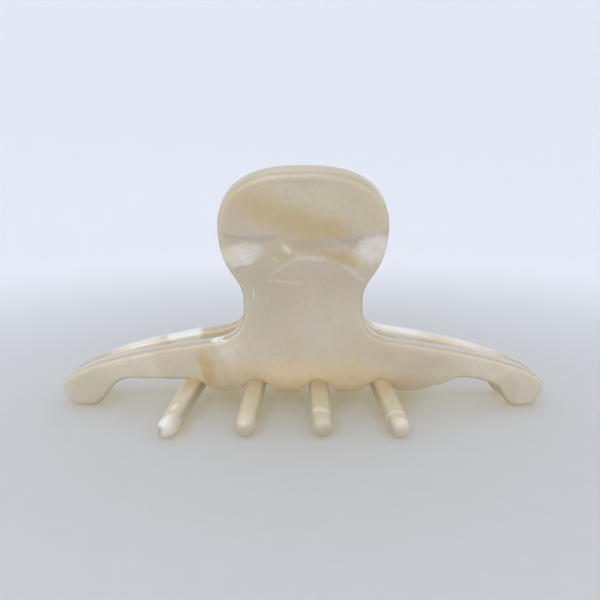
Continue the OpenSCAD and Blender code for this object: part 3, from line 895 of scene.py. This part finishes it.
def buildWasher(node, name):
    low, high = nodeBox(node)
    outer, inner, edge = high[1], pin["radius"] + 0.04, 0.07
    profile = [(low[0], inner + edge), (low[0] + edge, inner), (high[0] - edge, inner),
               (high[0], inner + edge), (high[0], outer - 1.6 * edge),
               (high[0] - 0.5 * edge, outer - 0.5 * edge), (high[0] - 1.6 * edge, outer),
               (low[0] + edge, outer), (low[0], outer - edge)]
    points, faces = loftLoops(turned(profile), closed=True)
    outwards(meshPiece(name, points, faces, washerSteel, "front", node))


buildWasher("pin_washer_right", "pinWasherRight")
buildWasher("pin_washer_left", "pinWasherLeft")
print("pin and washers made")

spring = {
    "wire": 0.9,
    "coilRadius": 2.8,
    "turns": 6,
    "legLength": 12.0,
    "hookLength": 1.6,
    "pitchGap": 0.12,      # between the turns at rest
    "stepsPerTurn": 40,
    "sides": 16,           # of the wire's section
}


def springPath():
    # From the end in the front paddle, down the leg, along the coil and up to the rear paddle
    lean = j["lean"]
    radius, wire = spring["coilRadius"], spring["wire"]
    leanOut = midOut + j["leanRadius"] * (1 - math.cos(lean))
    paddlePlane = leanOut * math.cos(lean) - (leanEndZ - hingeZ) * math.sin(lean) - j["sheet"] / 2
    tilt = lean - math.asin(max(0.0, (wire / 2 + radius - paddlePlane) / spring["legLength"]))
    sweep = 2 * math.pi * spring["turns"] + math.pi - 2 * tilt
    length = (wire + spring["pitchGap"]) * sweep / (2 * math.pi)
    along = np.array([0, -math.sin(tilt), math.cos(tilt)])
    hook = np.array([0, -math.cos(lean), -math.sin(lean)])

    def onCoil(angle, x):
        return np.array([x, -radius * math.cos(angle), hingeZ + radius * math.sin(angle)])

    root = onCoil(-tilt, length / 2)
    end = root + spring["legLength"] * along
    corner = [end + hook * wire * (1 - t) ** 2 - along * wire * t ** 2 for t in np.linspace(0, 1, 7)]
    straight = [root + spring["legLength"] * along * k for k in (0.8, 0.6, 0.4, 0.2)]
    leg = [end + spring["hookLength"] * hook, *corner, *straight]
    steps = round(sweep / (2 * math.pi) * spring["stepsPerTurn"])
    coil = [onCoil(-tilt - sweep * i / steps, length * (0.5 - i / steps)) for i in range(steps + 1)]
    return np.array(leg + coil + [p * [-1, -1, 1] for p in leg[::-1]]), length


def wireTree():
    # Follows the edges of the mesh that it is given with a round wire
    tree = bpy.data.node_groups.new("wireAlongPath", "GeometryNodeTree")
    tree.interface.new_socket("Geometry", in_out="INPUT", socket_type="NodeSocketGeometry")
    for label, kind, value in (("Wire Radius", "NodeSocketFloat", 0.0004), ("Sides", "NodeSocketInt", 16),
                               ("Finish", "NodeSocketMaterial", None)):
        socket = tree.interface.new_socket(label, in_out="INPUT", socket_type=kind)
        if value is not None:
            socket.default_value = value
    tree.interface.new_socket("Geometry", in_out="OUTPUT", socket_type="NodeSocketGeometry")
    given = tree.nodes.new("NodeGroupInput").outputs
    path = put(tree, "GeometryNodeMeshToCurve", {"Mesh": given["Geometry"]})
    circle = put(tree, "GeometryNodeCurvePrimitiveCircle",
                 {"Resolution": given["Sides"], "Radius": given["Wire Radius"]})
    swept = put(tree, "GeometryNodeCurveToMesh",
                {"Curve": path.outputs[0], "Profile Curve": circle.outputs[0], "Fill Caps": True})
    smooth = put(tree, "GeometryNodeSetShadeSmooth", {"Geometry": swept.outputs[0]})
    real = put(tree, "GeometryNodeRealizeInstances", {"Geometry": smooth.outputs[0]})
    finished = put(tree, "GeometryNodeSetMaterial",
                   {"Geometry": real.outputs[0], "Material": given["Finish"]})
    put(tree, "NodeGroupOutput", {0: finished.outputs[0]})
    return tree


def buildSpring():
    path, length = springPath()
    mesh = bpy.data.meshes.new("springPath")
    mesh.from_pydata((path * mm).tolist(), [(i, i + 1) for i in range(len(path) - 1)], [])
    guide = bpy.data.objects.new("springPath", mesh)
    bpy.context.scene.collection.objects.link(guide)
    modifier = guide.modifiers.new("wire", "NODES")
    modifier.node_group = wireTree()
    values = {"Wire Radius": spring["wire"] / 2 * mm, "Sides": spring["sides"], "Finish": springSteel}
    for item in modifier.node_group.interface.items_tree:
        if item.in_out == "INPUT" and item.name in values:
            modifier[item.identifier] = values[item.name]
    bpy.context.view_layer.update()
    evaluated = guide.evaluated_get(bpy.context.evaluated_depsgraph_get())
    finished = bpy.data.meshes.new_from_object(evaluated)
    guide.modifiers.clear()
    bpy.data.objects.remove(guide)
    piece = bpy.data.objects.new("torsionSpring", finished)
    bpy.context.scene.collection.objects.link(piece)
    outwards(piece)
    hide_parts("torsion_spring")
    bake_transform(piece)


buildSpring()
print("spring made")

studio = {
    "floorRings": (0.5, 60.0, 160.0, 300.0),    # radii of the flat floor
    "sweep": 120.0,                             # radius of its curve up into the backdrop
    "wall": 240.0,                              # height of the backdrop
    "sides": 96,
    "paper": ((0.60, 0.60, 0.59), (0.63, 0.63, 0.62)),
    "paintedLightFarPaper": (0.92, 0.93, 0.96),
    "fadeFrom": 0.03,                           # metres from the clip, over which the paper is painted brighter
    "fadeTo": 0.24,
}


def buildFloor():
    # A pale floor that curves up all round into a low backdrop
    wide = studio["floorRings"][-1]
    profile = [(r, 0) for r in studio["floorRings"]]
    for a in np.radians(np.linspace(10, 90, 9)):
        profile.append((wide + studio["sweep"] * math.sin(a), studio["sweep"] * (1 - math.cos(a))))
    profile.append((wide + studio["sweep"], studio["wall"]))
    sides = studio["sides"]
    angle = np.radians(np.arange(sides) * 360 / sides)
    c, s = np.cos(angle), np.sin(angle)
    points, faces = loftLoops([np.stack([r * c, r * s, np.full(sides, z)], 1) for r, z in profile])
    faces.append(tuple(range(sides))[::-1])
    mesh = bpy.data.meshes.new("studioFloor")
    mesh.from_pydata((points * mm).tolist(), [], faces)
    mesh.shade_smooth()
    floor = bpy.data.objects.new("studioFloor", mesh)
    bpy.context.scene.collection.objects.link(floor)
    material, tree, shader, place = startMaterial("studioPaper")
    fibre = noise(tree, place, 260.0, 5.0, roughness=0.6)["Fac"]
    near = mixColour(tree, fibre, *studio["paper"])
    # Painted light: the paper is darker near the clip and brighter further out, in place of more light on
    # the far floor and backdrop
    far = put(tree, "ShaderNodeVectorMath", {0: place}, operation="LENGTH").outputs["Value"]
    fade = ramp(tree, far, studio["fadeFrom"], studio["fadeTo"])
    tree.links.new(mixColour(tree, fade, near, studio["paintedLightFarPaper"]), shader.inputs["Base Color"])
    bump = put(tree, "ShaderNodeBump", {"Height": fibre, "Strength": 0.15, "Distance": 0.0004})
    tree.links.new(bump.outputs[0], shader.inputs["Normal"])
    shader.inputs["Roughness"].default_value = 0.9
    mesh.materials.append(material)


buildFloor()

# Each lamp's place, aim and size in metres
lamps = {
    "softTop": {"at": (0.02, 0.10, 0.42), "aim": (0, 0, 0), "size": (0.45, 0.36),
                "watts": 0.2, "colour": (1.0, 0.99, 0.97)},
    "frontFill": {"at": (0.08, -0.46, 0.13), "aim": (0, 0, 0.02), "size": (0.40, 0.24),
                  "watts": 1.7, "colour": (1.0, 0.99, 0.96)},
    "glint": {"at": (-0.16, -0.30, 0.26), "aim": (0, 0, 0.03), "size": (0.016, 0.016),
              "watts": 0.16, "colour": (1.0, 1.0, 1.0)},
}
sky = {"colour": (0.88, 0.92, 1.0), "strength": 0.88}
view = {
    "at": (-0.00023, -0.12136, 0.04613),
    "tilt": 78.49,       # degrees up from straight down
    "turn": 0.18,
    "lens": 36.0,
    "sensor": 36.0,
    "nearest": 0.005,
}


def addLamp(name, lamp):
    data = bpy.data.lights.new(name, "AREA")
    data.shape = "RECTANGLE"
    data.size, data.size_y = lamp["size"]
    data.energy = lamp["watts"]
    data.color = lamp["colour"]
    light = bpy.data.objects.new(name, data)
    light.location = lamp["at"]
    light.rotation_mode = "QUATERNION"
    light.rotation_quaternion = (Vector(lamp["aim"]) - Vector(lamp["at"])).to_track_quat("-Z", "Y")
    bpy.context.scene.collection.objects.link(light)


for name, lamp in lamps.items():
    addLamp(name, lamp)
world = bpy.data.worlds.new("studioWorld")
world.use_nodes = True
background = world.node_tree.nodes["Background"]
background.inputs["Color"].default_value = (*sky["colour"], 1.0)
background.inputs["Strength"].default_value = sky["strength"]
bpy.context.scene.world = world

camera = bpy.data.objects.new("camera", bpy.data.cameras.new("camera"))
camera.data.lens = view["lens"]
camera.data.sensor_width = view["sensor"]
camera.data.clip_start = view["nearest"]
camera.location = view["at"]
camera.rotation_euler = (math.radians(view["tilt"]), 0, math.radians(view["turn"]))
bpy.context.scene.collection.objects.link(camera)
bpy.context.scene.camera = camera
bpy.context.scene.view_settings.view_transform = "Standard"
print("studio made")

bpy.context.view_layer.update()
